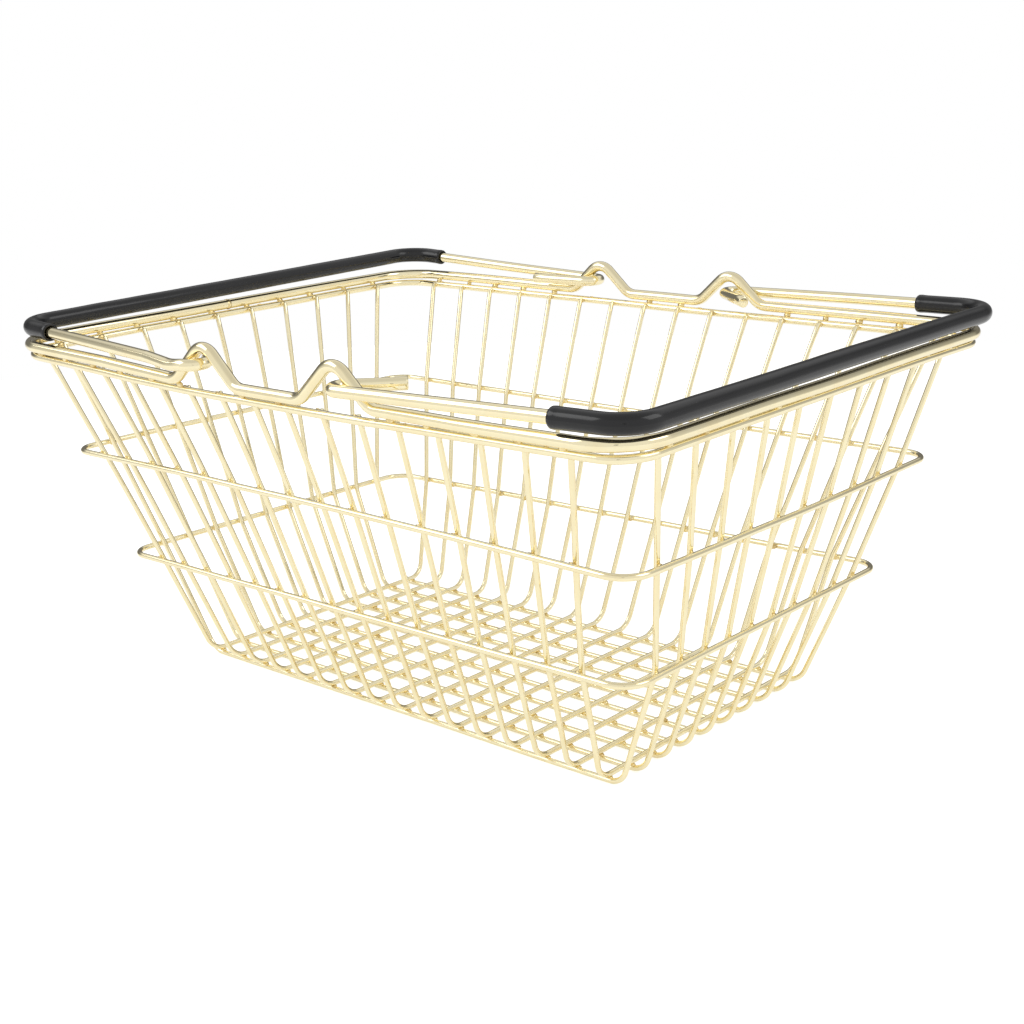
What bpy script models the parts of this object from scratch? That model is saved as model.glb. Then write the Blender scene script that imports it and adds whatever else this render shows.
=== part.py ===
"""Wire shopping basket with two fold-down carrying handles.

Every wire is an object of its own, as it is before the basket is welded together.
X runs along the basket, Y across it and Z up. The origin is on the base plane, which is the plane
of the flat underside of the lowest floor wires, below the middle of the basket's outline.
"""
import math
from collections import namedtuple

import bmesh
import bpy
import numpy as np
from mathutils import Vector

MM = 0.001

# Wire and sleeve sizes
BODY_WIRE_RADIUS = 1.4 * MM
HOOP_WIRE_RADIUS = 1.6 * MM
RIM_WIRE_RADIUS = 2.0 * MM
HEAVY_WIRE_RADIUS = 3.0 * MM
SLEEVE_BORE_RADIUS = 3.3 * MM
SLEEVE_OUTER_RADIUS = 4.7 * MM
GAP = 0.3 * MM

# Facets around each wire; an even count with a facet facing down
BODY_WIRE_SIDES = 8
HOOP_WIRE_SIDES = 8
HEAVY_WIRE_SIDES = 12

# Bends are split so that no facet turns by more than this
FINE_BEND_STEP = math.radians(19.0)
COARSE_BEND_STEP = math.radians(38.0)

# Facets that meet at less than this are shaded as one round surface
SMOOTH_ANGLE = math.radians(50.0)

# The basket is bent and welded by hand, so its rings sit a little off the middle and out of level.
# A seat is a shift along X, a shift along Y, a turn about Z, and the slopes along X and along Y.
FLOOR_SEAT = (-2.8 * MM, -3.3 * MM, 0.0, 0.0, 0.0)
LOWER_HOOP_SEAT = (-3.7 * MM, -3.2 * MM, 0.0, 0.0047, -0.0059)
UPPER_HOOP_SEAT = (-3.0 * MM, -3.7 * MM, math.radians(-0.28), -0.0070, -0.0035)
RIM_SEAT = (-2.15 * MM, 0.0, math.radians(-0.42), -0.0105, 0.0081)
HANDLE_SEAT = (-2.15 * MM, 0.0, 0.0, -0.0105, 0.0081)

# A ring's sags are the drops of its front, right, back and left sides, each at a quarter, a half and
# three quarters of the side
Ring = namedtuple("Ring", "half_length half_width height corner_radius sags seat")
STRAIGHT = (0.0, 0.0, 0.0)
LOWER_HOOP_SAGS = (STRAIGHT, STRAIGHT, STRAIGHT, STRAIGHT)
LOWER_HOOP = Ring(179.7 * MM, 109.2 * MM, 63.75 * MM, 13.6 * MM, LOWER_HOOP_SAGS, LOWER_HOOP_SEAT)
UPPER_HOOP_SAGS = (
    (-1.1 * MM, -1.4 * MM, -1.1 * MM),
    (0.8 * MM, 1.1 * MM, 0.8 * MM),
    (0.2 * MM, 0.3 * MM, 0.2 * MM),
    STRAIGHT,
)
UPPER_HOOP = Ring(195.8 * MM, 128.5 * MM, 124.1 * MM, 13.6 * MM, UPPER_HOOP_SAGS, UPPER_HOOP_SEAT)
RIM_SAGS = (
    (3.2 * MM, 3.3 * MM, 1.5 * MM),
    (-0.5 * MM, -0.7 * MM, -0.5 * MM),
    (0.4 * MM, 0.5 * MM, 0.4 * MM),
    (-0.6 * MM, -0.8 * MM, -0.6 * MM),
)
RIM = Ring(210.0 * MM, 150.8 * MM, 181.5 * MM, 19.7 * MM, RIM_SAGS, RIM_SEAT)
SAG_CORNERS = (-0.5, 0.0, 0.5)
SAG_BEND_RADIUS = 300.0 * MM

# Body wires pass inside the rim and the hoops, and their tops stand a little above the rim
WALL_TO_RIM = 4.0 * MM
WALL_TO_HOOP = 3.6 * MM
TOP_ABOVE_RIM = 0.6 * MM
FOOT_HALF_LENGTH = 149.8 * MM
FOOT_HALF_WIDTH = 85.3 * MM
FLOOR_BEND_RADIUS = 11.0 * MM
WALL_BEND_RADIUS = 40.0 * MM

# Body wires fan out from the floor to the rim. Each wall has the half span from its first wire to its
# last, the middle of that span, and how far its middle wires lean to the right, at the rim, at the
# upper hoop and at the lower hoop.
CROSS_WIRE_COUNT = 16
CROSS_FLOOR_HALF_SPAN = 142.25 * MM
FRONT_SPANS = (
    (183.5 * MM, -4.0 * MM, 0.0),
    (168.0 * MM, -2.5 * MM, 0.0),
    (151.7 * MM, -1.0 * MM, 0.0),
)
BACK_SPANS = (
    (183.3 * MM, 0.8 * MM, 5.5 * MM),
    (168.2 * MM, 1.5 * MM, 5.5 * MM),
    (151.7 * MM, 1.0 * MM, 4.0 * MM),
)
LONG_WIRE_COUNT = 10
LONG_FLOOR_HALF_SPAN = 78.33 * MM
LEFT_SPANS = (
    (121.1 * MM, -4.3 * MM, 0.0),
    (104.0 * MM, -0.6 * MM, 0.0),
    (86.0 * MM, -1.2 * MM, 0.0),
)
RIGHT_SPANS = (
    (118.7 * MM, -6.8 * MM, 0.0),
    (102.4 * MM, -1.7 * MM, 0.0),
    (85.3 * MM, -0.9 * MM, 0.0),
)

# Guard wire: the heavy ring above the rim, with two humps on each long side that carry the handles
GUARD_OUTSET = 2.2 * MM
GUARD_RISE = 5.87 * MM
GUARD_CORNER_RADIUS = 24.9 * MM
# A hump's position is along X, and its drops are those of its first and second foot round the ring
Hump = namedtuple("Hump", "position rise drops")
FRONT_HUMPS = (
    Hump(-42.0 * MM, 13.8 * MM, (3.8 * MM, 3.2 * MM)),
    Hump(50.0 * MM, 15.0 * MM, (3.0 * MM, 1.8 * MM)),
)
BACK_HUMPS = (
    Hump(51.5 * MM, 15.0 * MM, (0.0, 0.7 * MM)),
    Hump(-43.5 * MM, 15.0 * MM, (0.7 * MM, 0.0)),
)
HUMP_LEG_ANGLE = math.radians(42.0)
HUMP_TOP_RADIUS = 10.0 * MM
HUMP_FOOT_RADIUS = 12.0 * MM

# The guard wire is pressed down a little along the front, between each hump and its corner
DIP_POSITION = 125.0 * MM
DIP_DROP = 1.5 * MM

# Handles: each lies over one short end and turns in two humps. The corners are where the cross run
# would meet the arms, front then back; the sleeve's returns are measured from them along the arms.
PIVOT_HEIGHT = 193.2 * MM
HOOK_BEND_RADIUS = HEAVY_WIRE_RADIUS * 2.0 + 0.7 * MM
Handle = namedtuple("Handle", "end pivot front_corner back_corner corner_radii sleeve_returns")
HANDLES = {
    "left": Handle(
        -1.0,
        -45.25 * MM,
        Vector((-210.1, -146.4, 196.2)) * MM,
        Vector((-207.9, 155.0, 200.3)) * MM,
        (16.4 * MM, 18.5 * MM),
        (31.0 * MM, 27.5 * MM),
    ),
    "right": Handle(
        1.0,
        50.25 * MM,
        Vector((213.2, -154.15, 196.9)) * MM,
        Vector((215.4, 154.15, 196.9)) * MM,
        (15.0 * MM, 24.0 * MM),
        (37.0 * MM, 45.0 * MM),
    ),
}

# How far each hook is bent round its hump, and the length of wire left past the bend.
# The hooks are closed by hand once the handle is in its humps, so they differ.
HOOKS = {
    "left_front": (math.radians(140.0), 22.0 * MM),
    "left_back": (math.radians(176.0), 36.0 * MM),
    "right_front": (math.radians(138.0), 26.0 * MM),
    "right_back": (math.radians(142.0), 32.0 * MM),
}

# The left handle's front arm has a shallow knee where it passes its hump
KNEE_POSITION = -61.2 * MM
KNEE_DROP = 0.8 * MM
KNEE_END_POSITION = -82.2 * MM
KNEE_BEND_RADIUS = 25.0 * MM

GOLD_COLOUR = (0.89, 0.76, 0.46, 1.0)
GOLD_ROUGHNESS = 0.22
SLEEVE_COLOUR = (0.020, 0.020, 0.021, 1.0)
SLEEVE_ROUGHNESS = 0.32

GUARD_HALF_LENGTH = RIM.half_length + GUARD_OUTSET
GUARD_HALF_WIDTH = RIM.half_width + GUARD_OUTSET
GUARD_HEIGHT = RIM.height + GUARD_RISE
LONG_FLOOR_HEIGHT = BODY_WIRE_RADIUS * math.cos(math.pi / BODY_WIRE_SIDES)
CROSS_FLOOR_HEIGHT = LONG_FLOOR_HEIGHT + 2.0 * BODY_WIRE_RADIUS + GAP


def clear_scene():
    for scene_object in list(bpy.data.objects):
        bpy.data.objects.remove(scene_object, do_unlink=True)


def make_material(name, colour, roughness, metallic):
    material = bpy.data.materials.new(name)
    material.use_nodes = True
    shader = material.node_tree.nodes["Principled BSDF"]
    shader.inputs["Base Color"].default_value = colour
    shader.inputs["Roughness"].default_value = roughness
    shader.inputs["Metallic"].default_value = metallic
    material.diffuse_color = colour
    return material


def bend(before, corner, after, radius, step):
    """Points of the arc of the given bend radius that rounds off a corner of a centre line."""
    heading_in = (corner - before).normalized()
    heading_out = (after - corner).normalized()
    turn = heading_in.angle(heading_out)
    inward = (heading_out - heading_in * heading_in.dot(heading_out)).normalized()
    start = corner - heading_in * (radius * math.tan(turn / 2.0))
    centre = start + inward * radius
    count = max(1, math.ceil(turn / step))
    angles = [turn * index / count for index in range(count + 1)]
    return [centre + (heading_in * math.sin(a) - inward * math.cos(a)) * radius for a in angles]


def open_line(corners, radii, step):
    """Centre line from the first corner to the last, with a bend at each corner between them."""
    points = [corners[0]]
    for index, radius in enumerate(radii, start=1):
        points += bend(corners[index - 1], corners[index], corners[index + 1], radius, step)
    points.append(corners[-1])
    return points


def closed_line(corners, radii, step):
    """Centre line of a ring with a bend at every corner."""
    points = []
    for index, radius in enumerate(radii):
        following = corners[(index + 1) % len(corners)]
        points += bend(corners[index - 1], corners[index], following, radius, step)
    return points


def headings_at(points, index, closed):
    """Directions of the straight pieces before and after a point of a centre line."""
    last = len(points) - 1
    before = points[index] - points[index - 1] if index > 0 or closed else None
    after = points[(index + 1) % len(points)] - points[index] if index < last or closed else None
    before = after if before is None else before
    after = before if after is None else after
    return before.normalized(), after.normalized()


def longest_piece(points):
    """Number of the longest straight piece of a centre line."""
    lengths = [(end - start).length for start, end in zip(points, points[1:])]
    return lengths.index(max(lengths))


def wire_sections(points, radius, sides, closed):
    """Mitred cross sections of a wire, each a list of corners.

    The longest straight piece has a facet square to Z. From there the corners follow the bends both ways.
    """
    first = longest_piece(points)
    heading = (points[first + 1] - points[first]).normalized()
    side = heading.cross(Vector((0.0, 0.0, 1.0))).normalized()
    upright = side.cross(heading)
    angles = [2.0 * math.pi * (index + 0.5) / sides for index in range(sides)]
    start = [(side * -math.sin(a) - upright * math.cos(a)) * radius for a in angles]
    sections = {}
    for walk, way in ((range(first + 1, len(points)), 1.0), (range(first, -1, -1), -1.0)):
        offsets = start
        for index in walk:
            headings = headings_at(points, index, closed)
            before = headings[0] if way > 0.0 else -headings[1]
            after = headings[1] if way > 0.0 else -headings[0]
            mitre = (before + after).normalized()
            slide = 1.0 / before.dot(mitre)
            sections[index] = [points[index] + o - before * (o.dot(mitre) * slide) for o in offsets]
            turn = before.rotation_difference(after)
            offsets = [turn @ o for o in offsets]
    return [sections[index] for index in range(len(points))]


def add_rings(mesh, sections, origin):
    return [[mesh.verts.new(corner - origin) for corner in section] for section in sections]


def skin(mesh, rings, closed, outward=True):
    """Quads between neighbouring rings, facing away from the centre line unless outward is off."""
    count = len(rings) if closed else len(rings) - 1
    sides = len(rings[0])
    for index in range(count):
        near = rings[index]
        far = rings[(index + 1) % len(rings)]
        for side in range(sides):
            other = (side + 1) % sides
            corners = [near[side], near[other], far[other], far[side]]
            mesh.faces.new(corners if outward else corners[::-1])


def finish_object(name, mesh, origin, material):
    mesh.normal_update()
    data = bpy.data.meshes.new(name)
    mesh.to_mesh(data)
    mesh.free()
    data.materials.append(material)
    data.shade_smooth()
    data.set_sharp_from_angle(angle=SMOOTH_ANGLE)
    made = bpy.data.objects.new(name, data)
    made.location = origin
    bpy.context.collection.objects.link(made)
    return made


def make_wire(name, points, radius, sides, material, closed=False, origin=Vector()):
    """Solid round wire along a centre line."""
    mesh = bmesh.new()
    rings = add_rings(mesh, wire_sections(points, radius, sides, closed), origin)
    skin(mesh, rings, closed)
    if not closed:
        mesh.faces.new(rings[0][::-1])
        mesh.faces.new(rings[-1])
    return finish_object(name, mesh, origin, material)


def make_sleeve(name, points, material, origin):
    """Hollow sleeve around a wire's centre line, open at both ends."""
    mesh = bmesh.new()
    outer = add_rings(mesh, wire_sections(points, SLEEVE_OUTER_RADIUS, HEAVY_WIRE_SIDES, False), origin)
    inner = add_rings(mesh, wire_sections(points, SLEEVE_BORE_RADIUS, HEAVY_WIRE_SIDES, False), origin)
    skin(mesh, outer, False)
    skin(mesh, inner, False, outward=False)
    skin(mesh, [inner[0], outer[0]], False)
    skin(mesh, [outer[-1], inner[-1]], False)
    return finish_object(name, mesh, origin, material)


def seated(point, seat):
    """A point given about the middle of its ring, moved to where the ring sits."""
    shift_x, shift_y, turn, slope_x, slope_y = seat
    x = point[0] * math.cos(turn) - point[1] * math.sin(turn) + shift_x
    y = point[0] * math.sin(turn) + point[1] * math.cos(turn) + shift_y
    z = point[2] + point[0] * slope_x + point[1] * slope_y
    return Vector((x, y, z))


def sag_at(drops, share):
    """Drop of a sagging side, share running from -1 to 1 along it."""
    return float(np.interp(share, (-1.0, *SAG_CORNERS, 1.0), (0.0, *drops, 0.0)))


def wall_levels(share, ring_spans, floor_half_span, wall, floor_height):
    """Points of one body wire on one wall, from the rim down to the floor.

    wall is front, right, back or left as 0, 1, 2 or 3. share runs from -1 for the first wire to 1.
    """
    end_wall = wall in (1, 3)
    out = 1.0 if wall in (1, 2) else -1.0
    places = []
    rings = (RIM, UPPER_HOOP, LOWER_HOOP)
    insets = (WALL_TO_RIM, WALL_TO_HOOP, WALL_TO_HOOP)
    rises = (TOP_ABOVE_RIM, 0.0, 0.0)
    for ring, inset, rise, (half_span, middle, lean) in zip(rings, insets, rises, ring_spans):
        along = middle + share * half_span + lean * (1.0 - share * share)
        reach = ring.half_length if end_wall else ring.half_width
        length = ring.half_width if end_wall else ring.half_length
        height = ring.height + rise - sag_at(ring.sags[wall], along / length)
        places.append((along, out * (reach - inset), height, ring.seat))
    foot = FOOT_HALF_LENGTH if end_wall else FOOT_HALF_WIDTH
    places.append((share * floor_half_span, out * foot, floor_height, FLOOR_SEAT))
    levels = []
    for along, reach, height, seat in places:
        point = (reach, along, height) if end_wall else (along, reach, height)
        levels.append(seated(point, seat))
    return levels


def make_body_wire(name, first, second, material):
    """U-shaped body wire from the levels of the two walls that it runs down."""
    bends = [WALL_BEND_RADIUS, WALL_BEND_RADIUS, FLOOR_BEND_RADIUS]
    line = open_line(first + second[::-1], bends + bends[::-1], COARSE_BEND_STEP)
    make_wire(name, line, BODY_WIRE_RADIUS, BODY_WIRE_SIDES, material)


def make_body_wires(material):
    for index in range(CROSS_WIRE_COUNT):
        share = 2.0 * index / (CROSS_WIRE_COUNT - 1) - 1.0
        front = wall_levels(share, FRONT_SPANS, CROSS_FLOOR_HALF_SPAN, 0, CROSS_FLOOR_HEIGHT)
        back = wall_levels(share, BACK_SPANS, CROSS_FLOOR_HALF_SPAN, 2, CROSS_FLOOR_HEIGHT)
        make_body_wire(f"cross_wire_{index + 1:02d}", front, back, material)
    for index in range(LONG_WIRE_COUNT):
        share = 2.0 * index / (LONG_WIRE_COUNT - 1) - 1.0
        left = wall_levels(share, LEFT_SPANS, LONG_FLOOR_HALF_SPAN, 3, LONG_FLOOR_HEIGHT)
        right = wall_levels(share, RIGHT_SPANS, LONG_FLOOR_HALF_SPAN, 1, LONG_FLOOR_HEIGHT)
        make_body_wire(f"long_wire_{index + 1:02d}", left, right, material)


def rectangle(half_length, half_width, height):
    return [
        Vector((-half_length, -half_width, height)),
        Vector((half_length, -half_width, height)),
        Vector((half_length, half_width, height)),
        Vector((-half_length, half_width, height)),
    ]


def make_ring(name, ring, radius, material):
    """Welded ring of wire whose sides may sag."""
    outline = rectangle(ring.half_length, ring.half_width, ring.height)
    corners = []
    radii = []
    for side, drops in enumerate(ring.sags):
        start = outline[side]
        end = outline[(side + 1) % len(outline)]
        corners.append(start)
        radii.append(ring.corner_radius)
        if drops == STRAIGHT:
            continue
        for share, drop in zip(SAG_CORNERS, drops):
            place = start.lerp(end, (share + 1.0) / 2.0)
            place.z -= drop
            corners.append(place)
            radii.append(SAG_BEND_RADIUS)
    line = closed_line([seated(corner, ring.seat) for corner in corners], radii, FINE_BEND_STEP)
    make_wire(name, line, radius, HOOP_WIRE_SIDES, material, closed=True)


def hump_corners(hump, direction, side):
    """Corners of one hump's centre line, taken in the direction that the ring runs."""
    crown = hump.rise + HUMP_TOP_RADIUS * (1.0 / math.cos(HUMP_LEG_ANGLE) - 1.0)
    slope = math.tan(HUMP_LEG_ANGLE)
    feet = []
    for step, drop in zip((-direction, direction), hump.drops):
        reach = (crown + drop) / slope
        place = hump.position + step * reach
        feet.append(Vector((place, side * GUARD_HALF_WIDTH, GUARD_HEIGHT - drop)))
    top = Vector((hump.position, side * GUARD_HALF_WIDTH, GUARD_HEIGHT + crown))
    return [feet[0], top, feet[1]]


def make_guard_wire(material):
    hump_radii = [HUMP_FOOT_RADIUS, HUMP_TOP_RADIUS, HUMP_FOOT_RADIUS]
    ring_corners = rectangle(GUARD_HALF_LENGTH, GUARD_HALF_WIDTH, GUARD_HEIGHT)
    left_dip = Vector((-DIP_POSITION, -GUARD_HALF_WIDTH, GUARD_HEIGHT - DIP_DROP))
    right_dip = Vector((DIP_POSITION, -GUARD_HALF_WIDTH, GUARD_HEIGHT - DIP_DROP))
    front = [corner for hump in FRONT_HUMPS for corner in hump_corners(hump, 1.0, -1.0)]
    back = [corner for hump in BACK_HUMPS for corner in hump_corners(hump, -1.0, 1.0)]
    corners = [ring_corners[0], left_dip, *front, right_dip, *ring_corners[1:3], *back, ring_corners[3]]
    radii = [GUARD_CORNER_RADIUS, SAG_BEND_RADIUS, *hump_radii, *hump_radii, SAG_BEND_RADIUS]
    radii += [GUARD_CORNER_RADIUS, GUARD_CORNER_RADIUS, *hump_radii, *hump_radii, GUARD_CORNER_RADIUS]
    line = closed_line([seated(corner, RIM.seat) for corner in corners], radii, FINE_BEND_STEP)
    make_wire("guard_wire", line, HEAVY_WIRE_RADIUS, HEAVY_WIRE_SIDES, material, closed=True)


def hook_line(handle, side, turn, stub):
    """Centre line of a hook, from its cut end to the point before its arm starts.

    side is -1 at the front and 1 at the back. The hook comes in from outside the hump, crosses it on
    the pivot axis and turns back.
    """
    centre = hook_centre(handle, side)
    count = math.ceil(turn / FINE_BEND_STEP)
    points = []
    for index in range(count, 0, -1):
        angle = turn * index / count
        offset = Vector((-handle.end * math.sin(angle), side * math.cos(angle), 0.0))
        points.append(centre + offset * HOOK_BEND_RADIUS)
    tail = Vector((-handle.end * math.cos(turn), -side * math.sin(turn), 0.0))
    return [points[0] + tail * stub] + points


def hook_centre(handle, side):
    """Middle of a hook's bend, which touches the pivot axis where it crosses the turned guard wire."""
    crossing = side * GUARD_HALF_WIDTH + handle.pivot * math.sin(RIM.seat[2])
    return Vector((handle.pivot + handle.end * HOOK_BEND_RADIUS, crossing, PIVOT_HEIGHT))


def arm_corners(handle, side, corner, has_knee):
    """Corners of an arm's centre line, from its hook to the handle's rounded corner."""
    start = hook_centre(handle, side) + Vector((0.0, side * HOOK_BEND_RADIUS, 0.0))
    if not has_knee:
        return [start, corner]
    knee = Vector((KNEE_POSITION, start.y, PIVOT_HEIGHT - KNEE_DROP))
    knee_end = start.lerp(corner, (KNEE_END_POSITION - start.x) / (corner.x - start.x))
    return [start, knee, knee_end, corner]


def make_handle(prefix, gold, sleeve_material):
    """One U-shaped handle with its sleeve, both with their origin on the pivot axis."""
    handle = HANDLES[prefix]
    origin = seated((handle.pivot, 0.0, PIVOT_HEIGHT), HANDLE_SEAT)
    front = arm_corners(handle, -1.0, handle.front_corner, has_knee=handle.end < 0.0)
    back = arm_corners(handle, 1.0, handle.back_corner, has_knee=False)
    corners = front + back[::-1]
    radii = [KNEE_BEND_RADIUS] * (len(front) - 2) + list(handle.corner_radii)
    middle = open_line(corners, radii, FINE_BEND_STEP)
    front_hook = hook_line(handle, -1.0, *HOOKS[prefix + "_front"])
    back_hook = hook_line(handle, 1.0, *HOOKS[prefix + "_back"])
    line = [seated(point, HANDLE_SEAT) for point in front_hook + middle + back_hook[::-1]]
    wire = make_wire(
        prefix + "_handle_wire", line, HEAVY_WIRE_RADIUS, HEAVY_WIRE_SIDES, gold, origin=origin
    )
    sleeve_ends = []
    for arm, length in zip((front, back), handle.sleeve_returns):
        along_arm = (arm[-2] - arm[-1]).normalized()
        sleeve_ends.append(arm[-1] + along_arm * length)
    sleeve_corners = [sleeve_ends[0], front[-1], back[-1], sleeve_ends[1]]
    sleeve_line = open_line(sleeve_corners, handle.corner_radii, FINE_BEND_STEP)
    sleeve_line = [seated(point, HANDLE_SEAT) for point in sleeve_line]
    sleeve = make_sleeve(prefix + "_grip_sleeve", sleeve_line, sleeve_material, origin)
    sleeve.parent = wire
    sleeve.location = Vector()


def main():
    clear_scene()
    gold = make_material("gold_plated_steel", GOLD_COLOUR, GOLD_ROUGHNESS, 1.0)
    sleeve_material = make_material("black_vinyl", SLEEVE_COLOUR, SLEEVE_ROUGHNESS, 0.0)
    make_body_wires(gold)
    make_ring("lower_hoop", LOWER_HOOP, HOOP_WIRE_RADIUS, gold)
    make_ring("upper_hoop", UPPER_HOOP, HOOP_WIRE_RADIUS, gold)
    make_ring("rim_ring", RIM, RIM_WIRE_RADIUS, gold)
    make_guard_wire(gold)
    make_handle("left", gold, sleeve_material)
    make_handle("right", gold, sleeve_material)


main()
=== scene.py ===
"""Looks of the wire shopping basket: round drawn wire, weld beads, hooks, vinyl sleeves and studio."""

import math
from collections import namedtuple

import bmesh
import bpy
import numpy as np
from mathutils import Matrix, Vector, noise


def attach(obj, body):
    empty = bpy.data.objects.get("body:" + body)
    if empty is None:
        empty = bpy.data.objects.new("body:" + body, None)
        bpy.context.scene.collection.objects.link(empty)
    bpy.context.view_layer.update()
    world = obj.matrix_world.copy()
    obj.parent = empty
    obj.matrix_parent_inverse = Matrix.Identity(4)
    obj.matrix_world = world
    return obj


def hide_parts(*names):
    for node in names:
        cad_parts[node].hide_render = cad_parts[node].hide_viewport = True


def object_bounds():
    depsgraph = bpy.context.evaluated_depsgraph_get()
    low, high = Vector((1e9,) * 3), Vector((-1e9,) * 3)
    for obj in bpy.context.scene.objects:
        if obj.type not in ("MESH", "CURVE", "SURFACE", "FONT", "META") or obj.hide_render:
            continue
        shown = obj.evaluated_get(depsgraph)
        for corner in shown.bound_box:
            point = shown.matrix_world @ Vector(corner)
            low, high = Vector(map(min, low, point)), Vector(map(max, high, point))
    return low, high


MM = 0.001

# ---------------------------------------------------------------- sizes
BODY_RADIUS = 1.4 * MM
HOOP_RADIUS = 1.6 * MM
RIM_RADIUS = 2.0 * MM
HEAVY_RADIUS = 3.0 * MM
SLEEVE_BORE = 3.3 * MM
SLEEVE_RADIUS = 4.7 * MM

THIN_SIDES = 16
RIM_SIDES = 20
HEAVY_SIDES = 32
SLEEVE_SIDES = 40

# A piece of a CAD centre line that is longer than this is straight, and a shorter one is part of a bend
STRAIGHT_MIN = 12.0 * MM
STRAIGHT_STEP = 9.0 * MM
BEND_STEP = 0.9 * MM
SLEEVE_STEP = 1.5 * MM
WELD_STEP = 1.0 * MM
# CAD vertices on the same place of this grid are one, and one ring of them spans this many radii at most
MERGE_GRID = 0.001 * MM
RING_SPAN = 2.3

# A hand-straightened wire wanders, and its line changes over about 1 / WANDER_RATE metres
WANDER_RATE = 14.0

BASKET = "basket"
CROSS_WIRES = [f"cross_wire_{number:02d}" for number in range(1, 17)]
LONG_WIRES = [f"long_wire_{number:02d}" for number in range(1, 11)]
HOOPS = ["lower_hoop", "upper_hoop"]

# The vector noise that lets the wires wander starts from the clock unless it is seeded
NOISE_SEED = 1
noise.seed_set(NOISE_SEED)

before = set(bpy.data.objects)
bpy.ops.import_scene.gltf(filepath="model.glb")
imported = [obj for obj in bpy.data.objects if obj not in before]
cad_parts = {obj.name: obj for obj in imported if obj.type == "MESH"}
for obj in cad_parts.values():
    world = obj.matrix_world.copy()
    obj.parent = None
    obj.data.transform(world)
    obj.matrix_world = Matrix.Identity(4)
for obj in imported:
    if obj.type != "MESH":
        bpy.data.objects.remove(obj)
cad_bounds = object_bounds()


# ---------------------------------------------------------------- centre lines, read from the frame
def centre_line(node, radius):
    """Centre line of a CAD wire: the middles of its rings of vertices, in order, and whether it closes.

    The rings at the two ends of the longest piece are found first, then their neighbours both ways.
    """
    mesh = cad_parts[node].data
    merged = {}
    index_of = []
    for vertex in mesh.vertices:
        key = tuple(round(value / MERGE_GRID) for value in vertex.co)
        index_of.append(merged.setdefault(key, len(merged)))
    places = np.zeros((len(merged), 3))
    for vertex, index in zip(mesh.vertices, index_of):
        places[index] = vertex.co
    beside = [set() for _ in range(len(merged))]
    longest = (0.0, 0, 0)
    for edge in mesh.edges:
        first, second = (index_of[index] for index in edge.vertices)
        if first == second:
            continue
        beside[first].add(second)
        beside[second].add(first)
        length = float(np.linalg.norm(places[first] - places[second]))
        longest = max(longest, (length, *sorted((first, second))))

    def close_to(index):
        gaps = np.linalg.norm(places - places[index], axis=1)
        return set(np.flatnonzero(gaps < RING_SPAN * radius).tolist())

    near, far = close_to(longest[1]), close_to(longest[2])
    start = {index for index in near if beside[index] & far}
    end = {index for index in far if beside[index] & near}
    seen = start | end

    def walk(ring):
        middles = []
        while ring:
            middles.append(Vector(places[sorted(ring)].mean(axis=0)))
            last = ring
            seen.update(ring)
            ring = {other for index in ring for other in beside[index]} - seen
        return middles, last

    after, last = walk(end)
    before = walk(start)[0]
    closed = last != end and any(beside[index] & last for index in start)
    return before[::-1] + after, closed


def end_headings(points, closed):
    """Heading at each point: along a straight run where it meets one, or the mean of two bend pieces."""
    count = len(points)
    headings = []
    for index in range(count):
        before = points[index] - points[index - 1] if index or closed else None
        after = points[(index + 1) % count] - points[index] if index < count - 1 or closed else None
        before = after if before is None else before
        after = before if after is None else after
        if (before.length > STRAIGHT_MIN) == (after.length > STRAIGHT_MIN):
            headings.append((before.normalized() + after.normalized()).normalized())
        else:
            headings.append((before if before.length > after.length else after).normalized())
    return headings


def smooth_line(points, closed):
    """Centre line with round bends in place of the CAD's facets."""
    headings = end_headings(points, closed)
    count = len(points)
    smooth = []
    for index in range(count if closed else count - 1):
        start, end = points[index], points[(index + 1) % count]
        length = (end - start).length
        straight = length > STRAIGHT_MIN
        steps = max(2, math.ceil(length / (STRAIGHT_STEP if straight else BEND_STEP)))
        first, last = headings[index], headings[(index + 1) % count]
        pull = length / math.cos(first.angle(last) / 4.0) ** 2
        for step in range(steps):
            t = step / steps
            if straight:
                smooth.append(start.lerp(end, t))
                continue
            smooth.append(
                start * (2 * t**3 - 3 * t**2 + 1) + first * (pull * (t**3 - 2 * t**2 + t))
                + end * (3 * t**2 - 2 * t**3) + last * (pull * (t**3 - t**2))
            )
    if not closed:
        smooth.append(points[-1].copy())
    return smooth


def waver(points, amount, seed):
    """Lets a line wander by up to amount, as hand-straightened wire does."""
    shift = Vector((seed * 3.7, seed * 1.9, seed * 5.3))
    return [p + noise.noise_vector(p * WANDER_RATE + shift) * amount for p in points]


def line_lengths(points, closed):
    """Distance along a line at each of its points."""
    total, lengths = 0.0, [0.0]
    for index in range(1, len(points) + (1 if closed else 0)):
        total += (points[index % len(points)] - points[index - 1]).length
        lengths.append(total)
    return lengths


# ---------------------------------------------------------------- meshes
def frames_along(points, closed):
    """Point, heading and side of every cross section, turned as little as possible."""
    count = len(points)
    headings = []
    for index in range(count):
        before = points[index - 1] if index or closed else points[index]
        after = points[(index + 1) % count] if index < count - 1 or closed else points[index]
        headings.append((after - before).normalized())
    side = headings[0].cross(Vector((0.0, 0.0, 1.0)))
    if side.length < 0.1:
        side = headings[0].cross(Vector((0.0, 1.0, 0.0)))
    side.normalize()
    result = []
    for index, heading in enumerate(headings):
        if index:
            side = headings[index - 1].rotation_difference(heading) @ side
        side = (side - heading * side.dot(heading)).normalized()
        result.append((points[index], heading, side))
    return result


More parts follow.
